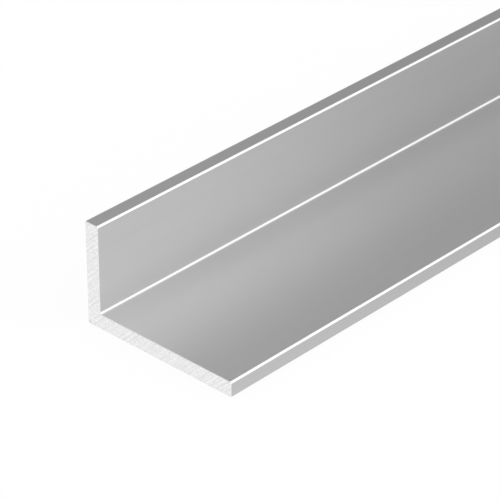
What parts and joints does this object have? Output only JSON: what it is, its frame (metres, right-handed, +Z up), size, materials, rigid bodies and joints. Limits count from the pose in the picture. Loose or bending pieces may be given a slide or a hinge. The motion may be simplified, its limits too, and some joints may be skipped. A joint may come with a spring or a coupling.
{
  "type": "corner led strip profile",
  "caption": "Unequal aluminium angle bar with a wide flat foot and a low upright, sawn square, for carrying a light strip along an inside or outside corner.",
  "frame": {"origin": "middle of the foot's underside, halfway along the bar", "axes": "+Y along the bar, +X from the heel to the free edge of the foot, +Z up the upright"},
  "size_m": [0.025, 1, 0.015],
  "materials": {
    "anodised_aluminium": "satin silver anodised along the bar, bare metal with fine saw marks on the sawn ends"
  },
  "bodies": {
    "root": {"corner_profile": "anodised_aluminium"}
  },
  "joints": []
}
